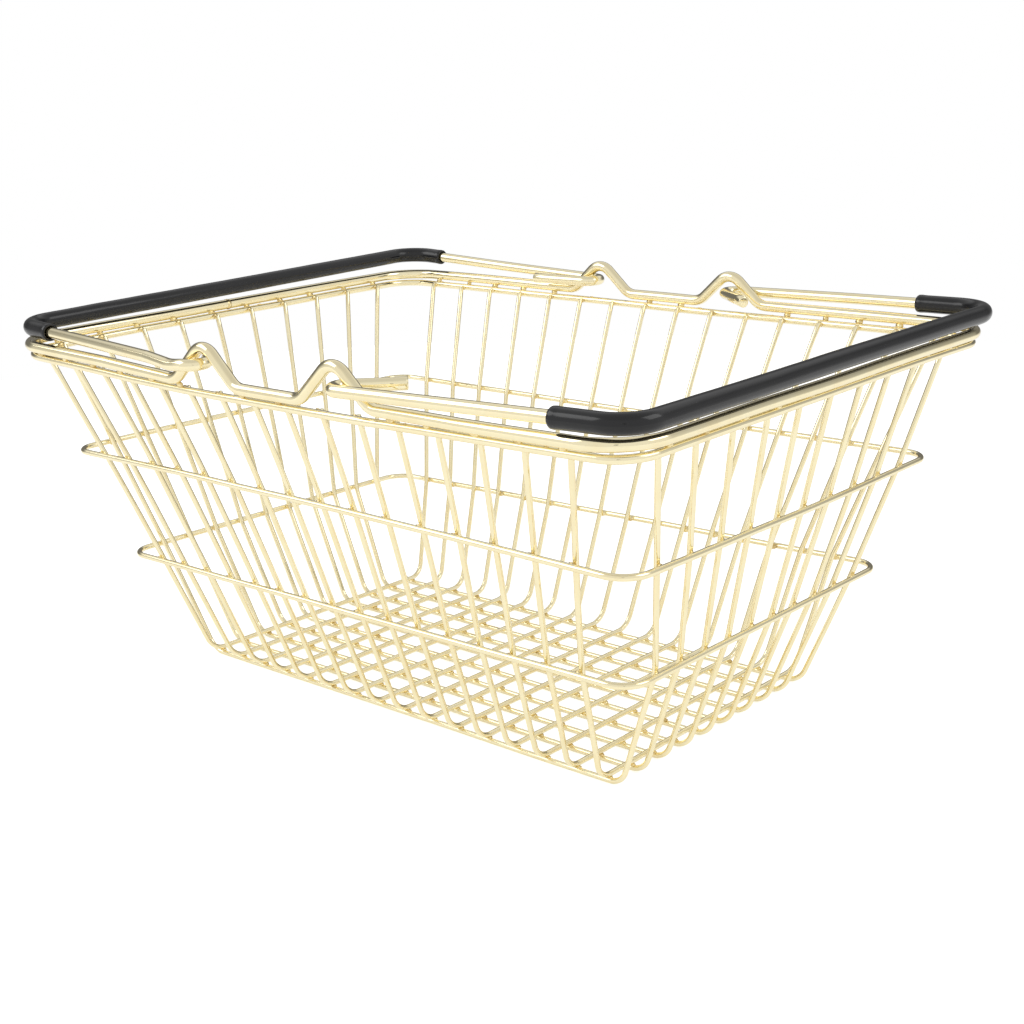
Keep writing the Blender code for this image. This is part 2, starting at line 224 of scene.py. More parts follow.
def add_ring(mesh, centre, heading, side, radius, sides, shape=None):
    """One cross section. shape gives each angle's radius as a share of the whole."""
    other = heading.cross(side)
    ring = []
    for index in range(sides):
        angle = 2.0 * math.pi * index / sides
        share = shape(angle) if shape else 1.0
        offset = (side * math.cos(angle) + other * math.sin(angle)) * (radius * share)
        ring.append(mesh.verts.new(centre + offset))
    return ring


def join_rings(mesh, near, far, layer, u_near, u_far, flip=False):
    """Quads between two rings, with U along the wire in metres and V round it from 0 to 1."""
    sides = len(near)
    for index in range(sides):
        other = (index + 1) % sides
        corners = [near[index], near[other], far[other], far[index]]
        places = [(u_near, index), (u_near, index + 1), (u_far, index + 1), (u_far, index)]
        if flip:
            corners.reverse()
            places.reverse()
        face = mesh.faces.new(corners)
        face.smooth = True
        for loop, (u, v) in zip(face.loops, places):
            loop[layer].uv = (u, v / sides)


def close_end(mesh, ring, centre):
    """Domed end face on a ring, as a fan round a middle point."""
    middle = mesh.verts.new(centre)
    for index in range(len(ring)):
        face = mesh.faces.new([ring[index], ring[(index + 1) % len(ring)], middle])
        face.smooth = True


def make_piece(name, mesh, material):
    bmesh.ops.recalc_face_normals(mesh, faces=mesh.faces)
    data = bpy.data.meshes.new(name)
    mesh.to_mesh(data)
    mesh.free()
    data.materials.append(material)
    piece = bpy.data.objects.new(name, data)
    bpy.context.scene.collection.objects.link(piece)
    return piece


# A cut end: rings of the dome as shares of the radius (depth, width), and the dome's whole depth
END_DOME = ((0.05, 0.97), (0.12, 0.88), (0.15, 0.74))
END_DOME_DEPTH = 0.17
PINCH_REACH = 2.2


def round_wire(name, points, closed, radius, sides, material, pinch=0.0):
    """Drawn round wire. An open wire's ends are domed, and pinch flattens them a little as a cutter does."""
    mesh = bmesh.new()
    layer = mesh.loops.layers.uv.new("wire")
    sections = frames_along(points, closed)
    along = line_lengths(points, closed)
    whole = along[-1]

    def squeeze(distance):
        share = pinch * max(0.0, 1.0 - min(distance, whole - distance) / (PINCH_REACH * radius))
        return lambda angle: 1.0 - share * math.cos(angle) ** 2 + 0.5 * share * math.sin(angle) ** 2

    rings = []
    for index, (centre, heading, side) in enumerate(sections):
        shape = squeeze(along[index]) if pinch and not closed else None
        rings.append(add_ring(mesh, centre, heading, side, radius, sides, shape))
    if closed:
        rings.append(rings[0])
    for index in range(len(rings) - 1):
        join_rings(mesh, rings[index], rings[index + 1], layer, along[index], along[index + 1])
    if closed:
        return make_piece(name, mesh, material)
    for index, outward in ((0, -1.0), (-1, 1.0)):
        centre, heading, side = sections[index]
        ring = rings[index]
        shape = squeeze(0.0) if pinch else None
        for depth, share in END_DOME:
            place = centre + heading * (outward * depth * radius)
            inner = add_ring(mesh, place, heading, side, radius * share, sides, shape)
            join_rings(mesh, ring, inner, layer, along[index], along[index], flip=outward < 0.0)
            ring = inner
        close_end(mesh, ring, centre + heading * (outward * END_DOME_DEPTH * radius))
    return make_piece(name, mesh, material)


BEAD_ROUGHNESS = 0.16


def bead(mesh, centre, axes, sizes, seed, rough=BEAD_ROUGHNESS):
    """One weld bead: a lumpy pebble with half sizes along three axes."""
    shift = Vector((seed * 1.7, seed * 2.3, seed * 0.9))
    made = bmesh.ops.create_icosphere(mesh, subdivisions=2, radius=1.0)["verts"]
    for vertex in made:
        direction = vertex.co.normalized()
        coarse = rough * noise.noise(direction * 1.6 + shift)
        lump = 1.0 + coarse + 0.5 * rough * noise.noise(direction * 4.0 + shift)
        offset = Vector()
        for axis, size, share in zip(axes, sizes, direction):
            offset += axis * (size * share * lump)
        vertex.co = centre + offset
    for face in {face for vertex in made for face in vertex.link_faces}:
        face.smooth = True


# ---------------------------------------------------------------- materials
class Nodes:
    """Short helper for building one material's node tree."""

    def __init__(self, name):
        self.material = bpy.data.materials.new(name)
        self.material.use_nodes = True
        self.tree = self.material.node_tree
        self.shader = self.tree.nodes["Principled BSDF"]

    def add(self, kind, **values):
        node = self.tree.nodes.new("ShaderNode" + kind)
        for key, value in values.items():
            if hasattr(node, key) and key not in node.inputs:
                setattr(node, key, value)
            else:
                node.inputs[key].default_value = value
        return node

    def link(self, source, target):
        self.tree.links.new(source, target)

    def noise(self, coordinates, scale, detail, roughness):
        node = self.add("TexNoise")
        node.inputs["Scale"].default_value = scale
        node.inputs["Detail"].default_value = detail
        node.inputs["Roughness"].default_value = roughness
        self.link(coordinates, node.inputs["Vector"])
        return node.outputs["Fac"]

    def ramp(self, factor, stops):
        node = self.tree.nodes.new("ShaderNodeValToRGB")
        elements = node.color_ramp.elements
        while len(elements) < len(stops):
            elements.new(0.5)
        for element, (position, colour) in zip(elements, stops):
            element.position = position
            element.color = (*colour, 1.0)
        self.link(factor, node.inputs["Fac"])
        return node.outputs["Color"]

    def span(self, value, low, high, start=0.0, end=1.0):
        node = self.tree.nodes.new("ShaderNodeMapRange")
        node.inputs["From Min"].default_value = start
        node.inputs["From Max"].default_value = end
        node.inputs["To Min"].default_value = low
        node.inputs["To Max"].default_value = high
        self.link(value, node.inputs["Value"])
        return node.outputs["Result"]

    def mix(self, factor, first, second, blend="MIX"):
        node = self.tree.nodes.new("ShaderNodeMix")
        node.data_type = "RGBA"
        node.blend_type = blend
        for socket, value in (("Factor_Float", factor), ("A_Color", first), ("B_Color", second)):
            target = next(i for i in node.inputs if i.identifier == socket)
            if isinstance(value, bpy.types.NodeSocket):
                self.link(value, target)
            elif isinstance(value, (int, float)):
                target.default_value = value
            else:
                target.default_value = (*value, 1.0)
        return next(o for o in node.outputs if o.identifier == "Result_Color")

    def bump(self, height, strength, distance, onto=None):
        node = self.tree.nodes.new("ShaderNodeBump")
        node.inputs["Strength"].default_value = strength
        node.inputs["Distance"].default_value = distance
        self.link(height, node.inputs["Height"])
        if onto is not None:
            self.link(onto, node.inputs["Normal"])
        return node.outputs["Normal"]


# The plating's colour seen face on, then painted shade on its flanks and a painted dark reflection at
# grazing edges, with the places of the two ends
FACE_GOLD = (0.955, 0.865, 0.590)
FLANK_PAINTED_SHADE = (0.84, 0.72, 0.46)
EDGE_PAINTED_SHADE = (0.24, 0.18, 0.07)
FACE_END = 0.70
FLANK_END = 0.90
WARM_TINT = (0.93, 0.72, 0.36)
DULL_TINT = (0.90, 0.80, 0.60)
BODY_ROUGHNESS = 0.08
HEAVY_ROUGHNESS = 0.06
# The dies' scratches: how often they change along a metre of wire and round it
DIE_LINE_RATES = (60.0, 26.0, 1.0)
DIE_LINE_DEPTH = 0.06 * MM
DIE_LINE_STRENGTH = 0.12
SPECK_DEPTH = 0.03 * MM

WELD_COLOURS = [(0.32, (0.58, 0.42, 0.18)), (0.50, (0.86, 0.70, 0.37)), (0.66, (0.98, 0.85, 0.52))]
WELD_GRAIN_DEPTH = 0.10 * MM

VINYL_BLACKS = ((0.005, 0.005, 0.006), (0.011, 0.011, 0.012))
VINYL_DUST = (0.16, 0.155, 0.145)
VINYL_SPECULAR = 0.42
VINYL_DIMPLE_DEPTH = 0.20 * MM
VINYL_PORE_DEPTH = 0.04 * MM


def gold_material(name, roughness):
    """Bright pale gold plating on drawn wire: warm face, painted shade on the flanks and a painted dark
    reflection at grazing edges, faint die lines and haze.
    """
    n = Nodes(name)
    uv = n.add("UVMap")
    uv.uv_map = "wire"
    stretch = n.add("Mapping")
    stretch.inputs["Scale"].default_value = DIE_LINE_RATES
    n.link(uv.outputs["UV"], stretch.inputs["Vector"])
    place = n.add("TexCoord").outputs["Object"]
    die_lines = n.noise(stretch.outputs["Vector"], 1.0, 4.0, 0.6)
    haze = n.noise(place, 55.0, 4.0, 0.6)
    specks = n.noise(place, 1400.0, 2.0, 0.5)
    facing = n.add("LayerWeight", Blend=0.5).outputs["Facing"]
    # Painted shade: the base colour darkens from the face to the flanks and to a painted dark reflection at
    # grazing edges
    stops = [(0.0, FACE_GOLD), (FACE_END, FACE_GOLD), (FLANK_END, FLANK_PAINTED_SHADE), (1.0, EDGE_PAINTED_SHADE)]
    colour = n.ramp(facing, stops)
    warm = n.mix(n.span(haze, 0.0, 1.0, 0.45, 0.75), colour, WARM_TINT, "MULTIPLY")
    colour = n.mix(0.20, colour, warm)
    per_wire = n.add("ObjectInfo").outputs["Random"]
    colour = n.mix(n.span(per_wire, 0.0, 0.08), colour, DULL_TINT, "MULTIPLY")
    n.link(colour, n.shader.inputs["Base Color"])
    n.shader.inputs["Metallic"].default_value = 1.0
    rough = n.add("Math", operation="ADD")
    n.link(n.span(die_lines, -0.03, 0.04), rough.inputs[0])
    n.link(n.span(haze, roughness - 0.03, roughness + 0.05, 0.3, 0.7), rough.inputs[1])
    n.link(rough.outputs["Value"], n.shader.inputs["Roughness"])
    scratches = n.bump(die_lines, DIE_LINE_STRENGTH, DIE_LINE_DEPTH)
    n.link(n.bump(specks, 0.10, SPECK_DEPTH, scratches), n.shader.inputs["Normal"])
    return n.material


def weld_material():
    """Plated weld metal: browner and duller than the wire, with a lumpy skin."""
    n = Nodes("weld_plated")
    place = n.add("TexCoord").outputs["Object"]
    patches = n.noise(place, 260.0, 4.0, 0.6)
    grain = n.noise(place, 1500.0, 3.0, 0.6)
    n.link(n.ramp(patches, WELD_COLOURS), n.shader.inputs["Base Color"])
    n.shader.inputs["Metallic"].default_value = 1.0
    n.link(n.span(patches, 0.30, 0.14, 0.35, 0.65), n.shader.inputs["Roughness"])
    n.link(n.bump(grain, 0.45, WELD_GRAIN_DEPTH), n.shader.inputs["Normal"])
    return n.material


def vinyl_material():
    """Glossy black soft vinyl: slow gloss changes, fine pores and a few pale dust specks."""
    n = Nodes("black_vinyl")
    place = n.add("TexCoord").outputs["Object"]
    cloud = n.noise(place, 38.0, 3.0, 0.5)
    pores = n.noise(place, 2600.0, 2.0, 0.5)
    dimples = n.noise(place, 190.0, 2.0, 0.5)
    dust = n.add("TexVoronoi", Scale=420.0)
    n.link(place, dust.inputs["Vector"])
    black = n.mix(cloud, *VINYL_BLACKS)
    colour = n.mix(n.span(dust.outputs["Distance"], 1.0, 0.0, 0.02, 0.055), black, VINYL_DUST)
    n.link(colour, n.shader.inputs["Base Color"])
    n.link(n.span(cloud, 0.10, 0.17, 0.3, 0.7), n.shader.inputs["Roughness"])
    n.shader.inputs["Specular IOR Level"].default_value = VINYL_SPECULAR
    skin = n.bump(dimples, 0.10, VINYL_DIMPLE_DEPTH)
    n.link(n.bump(pores, 0.12, VINYL_PORE_DEPTH, skin), n.shader.inputs["Normal"])
    return n.material


body_gold = gold_material("gold_body_wire", BODY_ROUGHNESS)
heavy_gold = gold_material("gold_heavy_wire", HEAVY_ROUGHNESS)
weld_gold = weld_material()
vinyl = vinyl_material()


# ---------------------------------------------------------------- the basket's wires
# One kind of wire. wander is how far its line strays, and pinch how far a cutter flattens its ends
Stock = namedtuple("Stock", "radius sides material slot wander pinch")
BODY_STOCK = Stock(BODY_RADIUS, THIN_SIDES, body_gold, "body_wire", 0.35 * MM, 0.10)
HOOP_STOCK = Stock(HOOP_RADIUS, THIN_SIDES, body_gold, "body_wire", 0.35 * MM, 0.0)
RIM_STOCK = Stock(RIM_RADIUS, RIM_SIDES, body_gold, "body_wire", 0.5 * MM, 0.0)
GUARD_STOCK = Stock(HEAVY_RADIUS, HEAVY_SIDES, heavy_gold, "heavy_wire", 0.4 * MM, 0.0)
HANDLE_STOCK = Stock(HEAVY_RADIUS, HEAVY_SIDES, heavy_gold, "heavy_wire", 0.25 * MM, 0.08)
HOOP_SEED, RIM_SEED, GUARD_SEED, HANDLE_SEED = 40, 50, 51, 60


def make_wire_piece(node, stock, body, seed):
    corners, closed = centre_line(node, stock.radius)
    line = waver(smooth_line(corners, closed), stock.wander, seed)
    piece = round_wire(node + "_drawn", line, closed, stock.radius, stock.sides, stock.material, stock.pinch)
    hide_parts(node)
    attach(piece, body)
    return line


lines = {}
for seed, node in enumerate(CROSS_WIRES + LONG_WIRES):
    lines[node] = make_wire_piece(node, BODY_STOCK, BASKET, seed)
for seed, node in enumerate(HOOPS, start=HOOP_SEED):
    lines[node] = make_wire_piece(node, HOOP_STOCK, BASKET, seed)
lines["rim_ring"] = make_wire_piece("rim_ring", RIM_STOCK, BASKET, RIM_SEED)
lines["guard_wire"] = make_wire_piece("guard_wire", GUARD_STOCK, BASKET, GUARD_SEED)


# ---------------------------------------------------------------- handles and sleeves
# The sleeve's rolled lip: its rise as a share of the radius, its place and its width
LIP_RISE = 0.035
LIP_PLACE = 1.6 * MM
LIP_WIDTH = 1.3 * MM
SWELL = 0.016
RIPPLE = 0.020
RIPPLE_LENGTH = 1.15 * MM
SNUG_SHARE = 0.985
LIP_TURNS = (45.0, 90.0, 135.0)
MIN_TURN = 1e-5


def sleeve_stretch(line, sleeve_node):
    """Stretch of the handle's line between the two open ends of its CAD sleeve."""
    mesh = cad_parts[sleeve_node].data
    places = np.array([vertex.co for vertex in mesh.vertices])
    limits = [float(np.abs(places[mask][:, 0]).min()) for mask in (places[:, 1] < 0.0, places[:, 1] > 0.0)]
    inside = [index for index, p in enumerate(line) if abs(p.x) > limits[0 if p.y < 0.0 else 1]]

    def cut(outer, inner):
        limit = limits[0 if inner.y < 0.0 else 1]
        return outer.lerp(inner, (limit - abs(outer.x)) / (abs(inner.x) - abs(outer.x)))

    first, last = inside[0], inside[-1]
    return [cut(line[first - 1], line[first])] + line[first:last + 1] + [cut(line[last + 1], line[last])]


def even_steps(stretch):
    """A line cut into even short steps."""
    along = line_lengths(stretch, False)
    count = math.ceil(along[-1] / SLEEVE_STEP)
    result, index = [], 0
    for step in range(count + 1):
        target = along[-1] * step / count
        while index < len(stretch) - 2 and along[index + 1] < target:
            index += 1
        share = (target - along[index]) / (along[index + 1] - along[index])
        result.append(stretch[index].lerp(stretch[index + 1], share))
    return result


def sleeve_radius(distance, whole, bend, angle, seed):
    """Outer radius of the sleeve: rolled ends, a slow swell, and ripples on the inside of each bend."""
    end = min(distance, whole - distance)
    lip = 1.0 + LIP_RISE * math.exp(-((end - LIP_PLACE) / LIP_WIDTH) ** 2)
    place = Vector((distance * 60.0, math.cos(angle) * 0.8, math.sin(angle) * 0.8 + seed))
    swell = 1.0 + SWELL * noise.noise(place)
    ripple = 1.0 + RIPPLE * bend * math.sin(distance / RIPPLE_LENGTH) * noise.noise(place * 2.0)
    return SLEEVE_RADIUS * lip * swell * ripple * SNUG_SHARE


def make_sleeve_piece(node, line, body, seed):
    """Hollow vinyl tube with rounded lips."""
    sections = frames_along(line, False)
    along = line_lengths(line, False)
    whole = along[-1]
    mesh = bmesh.new()
    layer = mesh.loops.layers.uv.new("wire")
    outer, inner = [], []
    for index, (centre, heading, side) in enumerate(sections):
        before = sections[max(0, index - 2)][1]
        after = sections[min(len(sections) - 1, index + 2)][1]
        turn = after - before
        bend = min(1.0, turn.length * 4.0)
        inward = turn.normalized() if turn.length > MIN_TURN else side
        other = heading.cross(side)

        def outer_share(angle):
            direction = side * math.cos(angle) + other * math.sin(angle)
            on_inside = max(0.0, direction.dot(inward)) * bend
            return sleeve_radius(along[index], whole, on_inside, angle, seed) / SLEEVE_RADIUS

        outer.append(add_ring(mesh, centre, heading, side, SLEEVE_RADIUS, SLEEVE_SIDES, outer_share))
        inner.append(add_ring(mesh, centre, heading, side, SLEEVE_BORE, SLEEVE_SIDES))
    for index in range(len(sections) - 1):
        join_rings(mesh, outer[index], outer[index + 1], layer, along[index], along[index + 1])
        join_rings(mesh, inner[index], inner[index + 1], layer, along[index], along[index + 1], flip=True)
    wall = (SLEEVE_RADIUS - SLEEVE_BORE) / 2.0
    for index, outward in ((0, -1.0), (-1, 1.0)):
        centre, heading, side = sections[index]
        previous = outer[index]
        for lip_turn in LIP_TURNS:
            angle = math.radians(lip_turn)
            radius = SLEEVE_BORE + wall + wall * math.cos(angle) * 0.93
            place = centre + heading * (outward * wall * 0.75 * math.sin(angle))
            ring = add_ring(mesh, place, heading, side, radius, SLEEVE_SIDES)
            join_rings(mesh, previous, ring, layer, along[index], along[index], flip=outward < 0.0)
            previous = ring
        join_rings(mesh, previous, inner[index], layer, along[index], along[index], flip=outward < 0.0)
    piece = make_piece(node + "_moulded", mesh, vinyl)
    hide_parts(node)
    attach(piece, body)


for seed, prefix in enumerate(("left", "right"), start=HANDLE_SEED):
    body = prefix + "_handle"
    line = make_wire_piece(prefix + "_handle_wire", HANDLE_STOCK, body, seed)
    sleeve_node = prefix + "_grip_sleeve"
    make_sleeve_piece(sleeve_node, even_steps(sleeve_stretch(line, sleeve_node)), body, seed)


# ---------------------------------------------------------------- welds
# Two wires are welded where the gap between them is no more than this
TOUCH_GAP = 1.6 * MM
GUARD_TOUCH_GAP = 2.0 * MM
# Samples of a line on each side of a crossing in which no other crossing is looked for
CROSSING_WINDOW = 12
# A bead's half sizes along the second wire, across it and through the contact
HOOP_BEAD = (2.3 * MM, 1.5 * MM, 0.9 * MM)
RIM_BEAD = (1.9 * MM, 1.5 * MM, 0.75 * MM)
FLOOR_BEAD = (1.7 * MM, 1.7 * MM, 0.7 * MM)
# Only the parts of the body wires below these heights meet on the floor
CROSS_WIRE_FLOOR = 6.0 * MM
LONG_WIRE_FLOOR = 3.0 * MM
SPATTER_COUNT = 26
SPATTER_ROUGHNESS = 0.3
GOLDEN_SHARE = 0.618034
# A seam's flash: places along the wire in millimetres, and shares of its radius
SEAM_PROFILE = ((-1.4, 0.98), (-0.9, 1.035), (-0.3, 1.075), (0.3, 1.05), (0.9, 1.06), (1.5, 0.98))
SEAM_HALF_LENGTH = 1.45 * MM
SEAM_LUMP = 0.035
# Each seam's place across the left end, as a share of the ring's half width
GUARD_SEAM_PLACE = -0.02
RIM_SEAM_PLACE = -0.10


def fine_points(line, closed):
    """Points every WELD_STEP along a line, as an array, for finding crossings."""
    stops = line + [line[0]] if closed else line
    result = []
    for start, end in zip(stops, stops[1:]):
        steps = max(1, math.ceil((end - start).length / WELD_STEP))
        result += [start.lerp(end, step / steps) for step in range(steps)]
    return np.array([tuple(p) for p in result])


def crossings(first, second, reach):
    """Places where two lines pass within reach of each other: (point on first, point on second)."""
    gaps = np.linalg.norm(first[:, None, :] - second[None, :, :], axis=2)
    near = gaps.min(1)
    partner = gaps.argmin(1)
    found = []
    for index in range(len(near)):
        low, high = max(0, index - CROSSING_WINDOW), index + CROSSING_WINDOW + 1
        if near[index] < reach and near[index] == near[low:high].min():
            if not found or index - found[-1] > CROSSING_WINDOW:
                found.append(index)
    return [(Vector(first[i]), Vector(second[partner[i]])) for i in found]


def heading_at(line_array, point):
    """Unit heading of a line at the sample nearest to a point."""
    index = int(np.linalg.norm(line_array - np.array(point), axis=1).argmin())
    low, high = max(0, index - 2), min(len(line_array) - 1, index + 2)
    return Vector(line_array[high] - line_array[low]).normalized()


def weld_group(name, pairs, sizes, side_shift, lift, seed):
    """Beads where pairs of wires touch. pairs holds (first line, second line, radius, radius)."""
    mesh = bmesh.new()
    count = 0
    for first, second, first_radius, second_radius in pairs:
        reach = first_radius + second_radius + TOUCH_GAP
        for on_first, on_second in crossings(first, second, reach):
            count += 1
            out = (on_second - on_first).normalized()
            gap = (on_second - on_first).length - first_radius - second_radius
            along = heading_at(second, on_second)
            across = out.cross(along).normalized()
            contact = on_first + out * (first_radius + 0.5 * gap)
            wobble = noise.noise(contact * 37.0 + Vector((seed, 0.0, 0.0)))
            centre = contact + along * (side_shift * (1.0 + 0.5 * wobble)) + across * (lift * (1.0 + wobble))
            grown = [size * (1.0 + 0.25 * wobble) for size in sizes]
            bead(mesh, centre, (along, across, out), grown, count * 1.31 + seed)
    piece = make_piece(name, mesh, weld_gold)
    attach(piece, BASKET)


fine = {node: fine_points(line, node not in CROSS_WIRES + LONG_WIRES) for node, line in lines.items()}
uprights = [fine[node] for node in CROSS_WIRES + LONG_WIRES]
for node in HOOPS:
    hoop_pairs = [(upright, fine[node], BODY_RADIUS, HOOP_RADIUS) for upright in uprights]
    weld_group(node + "_welds", hoop_pairs, HOOP_BEAD, 0.7 * MM, 0.4 * MM, 3.0)
rim_pairs = [(upright, fine["rim_ring"], BODY_RADIUS, RIM_RADIUS) for upright in uprights]
weld_group("rim_ring_welds", rim_pairs, RIM_BEAD, 0.3 * MM, 0.0, 5.0)
floor_cross = [fine[node][fine[node][:, 2] < CROSS_WIRE_FLOOR] for node in CROSS_WIRES]
floor_long = [fine[node][fine[node][:, 2] < LONG_WIRE_FLOOR] for node in LONG_WIRES]
floor_pairs = [(cross, long, BODY_RADIUS, BODY_RADIUS) for cross in floor_cross for long in floor_long]
weld_group("floor_welds", floor_pairs, FLOOR_BEAD, 0.5 * MM, 0.3 * MM, 7.0)


def guard_welds():
    """Beads in the slit between the rim ring and the guard wire, over every body wire's top."""
    mesh = bmesh.new()
    rim, guard = fine["rim_ring"], fine["guard_wire"]
    count = 0
    for upright in uprights:
        for _, on_rim in crossings(upright, rim, BODY_RADIUS + RIM_RADIUS + TOUCH_GAP):
            guard_index = int(np.linalg.norm(guard - np.array(on_rim), axis=1).argmin())
            on_guard = Vector(guard[guard_index])
            if (on_guard - on_rim).length > HEAVY_RADIUS + RIM_RADIUS + GUARD_TOUCH_GAP:
                continue
            count += 1
            up = (on_guard - on_rim).normalized()
            along = heading_at(rim, on_rim)
            across = up.cross(along).normalized()
            gap = (on_guard - on_rim).length - HEAVY_RADIUS - RIM_RADIUS
            middle = on_rim + up * (RIM_RADIUS + gap / 2.0)
            wobble = noise.noise(middle * 51.0)
            sizes = [(2.2 + 0.9 * wobble) * MM, 1.3 * MM, gap / 2.0 + 0.75 * MM]
            bead(mesh, middle + along * (wobble * 3.0 * MM), (along, across, up), sizes, count * 0.77)
    piece = make_piece("guard_wire_welds", mesh, weld_gold)
    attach(piece, BASKET)


def spatter():
    """Drips and spatter left on the rim ring by the welder."""
    mesh = bmesh.new()
    rim = fine["rim_ring"]
    for count in range(SPATTER_COUNT):
        index = int(len(rim) * ((count * GOLDEN_SHARE) % 1.0))
        point = Vector(rim[index])
        along = heading_at(rim, point)
        outward = along.cross(Vector((0.0, 0.0, 1.0))).normalized()
        tilt = math.radians(20.0 + 55.0 * noise.noise(Vector((count * 2.1, 0.0, 0.0))))
        normal = (Vector((0.0, 0.0, 1.0)) * math.cos(tilt) + outward * math.sin(tilt)).normalized()
        across = normal.cross(along).normalized()
        size = 0.5 + 0.5 * abs(noise.noise(Vector((0.0, count * 3.3, 0.0))))
        sizes = (2.2 * size * MM, 0.9 * size * MM, 0.42 * size * MM)
        place = point + normal * (RIM_RADIUS + 0.05 * MM)
        bead(mesh, place, (along, across, normal), sizes, count * 2.9, SPATTER_ROUGHNESS)
    piece = make_piece("rim_spatter", mesh, weld_gold)
    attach(piece, BASKET)


def butt_weld(name, node, radius, width_share):
    """Ring of flash where the two ends of a closed ring of wire were joined, on the left end."""
    line = fine[node]
    left = line[:, 0].min()
    target = np.array((left, width_share * np.abs(line[:, 1]).max(), line[:, 2].mean()))
    index = int(np.linalg.norm(line - target, axis=1).argmin())
    centre = Vector(line[index])
    heading = heading_at(line, centre)
    side = heading.cross(Vector((0.0, 0.0, 1.0))).normalized()
    mesh = bmesh.new()
    layer = mesh.loops.layers.uv.new("wire")
    rings = []
    for step, share in SEAM_PROFILE:
        def lumpy(angle, step=step, share=share):
            spot = Vector((math.cos(angle) * 1.5, math.sin(angle) * 1.5, step))
            return share + SEAM_LUMP * noise.noise(spot)

        place = centre + heading * (step * MM)
        rings.append(add_ring(mesh, place, heading, side, radius, HEAVY_SIDES, lumpy))
    for index in range(len(rings) - 1):
        join_rings(mesh, rings[index], rings[index + 1], layer, 0.0, 0.0)
    for ring, outward in ((rings[0], -1.0), (rings[-1], 1.0)):
        close_end(mesh, ring, centre + heading * (outward * SEAM_HALF_LENGTH))
    piece = make_piece(name, mesh, weld_gold)
    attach(piece, BASKET)


guard_welds()
spatter()
butt_weld("guard_wire_seam", "guard_wire", HEAVY_RADIUS, GUARD_SEAM_PLACE)
butt_weld("rim_ring_seam", "rim_ring", RIM_RADIUS, RIM_SEAM_PLACE)


# ---------------------------------------------------------------- studio
CAMERA_PLACE = Vector((0.5570, -0.6103, 0.3243))
CAMERA_YAW = math.radians(41.800)
CAMERA_PITCH = math.radians(-15.849)
CAMERA_ROLL = math.radians(-2.139)
SENSOR_WIDTH = 36.0
LENS_LENGTH = 55.19
LENS_SHIFT = 0.0005
NEAREST = 0.02
LENS_CARD_RADIUS = 0.045
LENS_CARD_OFFSET = 0.03
LENS_CARD_BLACK = (0.004, 0.004, 0.004, 1.0)

FLOOR_RADIUS = 1.1
FLOOR_GAP = 0.02 * MM
FLOOR_COLOUR = (0.90, 0.90, 0.89, 1.0)
FLOOR_LIFT = 0.55
FLOOR_GLOW = 0.22
WHITE = (1.0, 1.0, 1.0, 1.0)

SOFTBOX_SIZE = (1.0, 0.8)
SOFTBOX_TARGET = (0.0, 0.0, 0.1)

# The light tent's level, and what its dark band and its top take away. Heights are sines of the angle up.
TENT_LEVEL = 1.08
BAND_SHARE = 0.86
BAND_HEIGHT = 0.20
BAND_EDGES = (0.16, 0.42)
BEHIND_EDGES = (-0.10, 0.60)
TOP_SHARE = 0.24
TOP_EDGES = (0.55, 0.95)


def look_from(location, yaw, pitch, roll):
    """Placing of a camera: yaw is from +Y towards -X, pitch is up, roll turns the picture."""
    ahead = Vector((-math.sin(yaw) * math.cos(pitch), math.cos(yaw) * math.cos(pitch), math.sin(pitch)))
    right = ahead.cross(Vector((0.0, 0.0, 1.0))).normalized()
    up = right.cross(ahead)
    rolled_right = right * math.cos(roll) + up * math.sin(roll)
    rolled_up = up * math.cos(roll) - right * math.sin(roll)
    turn = Matrix((rolled_right, rolled_up, -ahead)).transposed().to_4x4()
    return Matrix.Translation(location) @ turn


def make_camera():
    data = bpy.data.cameras.new("camera")
    data.sensor_width = SENSOR_WIDTH
    data.lens = LENS_LENGTH
    data.shift_x = LENS_SHIFT
    data.clip_start = NEAREST
    camera = bpy.data.objects.new("camera", data)
    bpy.context.scene.collection.objects.link(camera)
    camera.matrix_world = look_from(CAMERA_PLACE, CAMERA_YAW, CAMERA_PITCH, CAMERA_ROLL)
    bpy.context.scene.camera = camera


def softbox(name, place, power):
    data = bpy.data.lights.new(name, "AREA")
    data.shape = "RECTANGLE"
    data.size, data.size_y = SOFTBOX_SIZE
    data.energy = power
    light = bpy.data.objects.new(name, data)
    light.location = place
    light.rotation_euler = (Vector(SOFTBOX_TARGET) - Vector(place)).to_track_quat("-Z", "Y").to_euler()
    bpy.context.scene.collection.objects.link(light)


class World:
    """Node helper for the light tent around the object."""

    def __init__(self):
        world = bpy.data.worlds.new("studio")
        bpy.context.scene.world = world
        world.use_nodes = True
        self.tree = world.node_tree
        self.tree.nodes.clear()

    def add(self, kind):
        return self.tree.nodes.new("ShaderNode" + kind)

    def link(self, source, target):
        if isinstance(source, (int, float)):
            target.default_value = source
        else:
            self.tree.links.new(source, target)

    def math(self, operation, first, second=0.0):
        node = self.add("Math")
        node.operation = operation
        self.link(first, node.inputs[0])
        self.link(second, node.inputs[1])
        return node.outputs["Value"]

    def step(self, value, start, end):
        node = self.add("MapRange")
        node.interpolation_type = "SMOOTHSTEP"
        node.inputs["From Min"].default_value = start
        node.inputs["From Max"].default_value = end
        self.link(value, node.inputs["Value"])
        return node.outputs["Result"]

    def along(self, vector, direction):
        node = self.add("VectorMath")
        node.operation = "DOT_PRODUCT"
        self.link(vector, node.inputs[0])
        node.inputs[1].default_value = direction
        return node.outputs["Value"]


